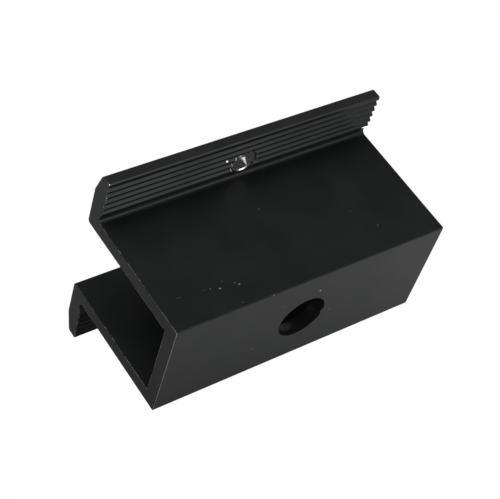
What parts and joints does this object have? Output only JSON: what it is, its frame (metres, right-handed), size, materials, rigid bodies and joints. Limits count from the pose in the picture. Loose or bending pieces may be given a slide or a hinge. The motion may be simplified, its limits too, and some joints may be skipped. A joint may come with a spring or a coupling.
{
  "type": "solar mid clamp",
  "caption": "Extruded hat-section mid clamp with toothed flanges, a bolt hole in its base and a pointed grounding pin under each flange.",
  "frame": {"origin": "centre of the bolt hole on the underside of the base plate", "axes": "+X along the extrusion, +Y across it, +Z along the bolt from the base plate up to the flanges"},
  "size_m": [0.05, 0.037, 0.0245],
  "materials": {
    "black_anodised": "satin black anodised",
    "stainless": "turned, bare"
  },
  "bodies": {
    "root": {"clamp_body": "black_anodised", "grounding_pin_front": "stainless", "grounding_pin_back": "stainless"}
  },
  "joints": []
}
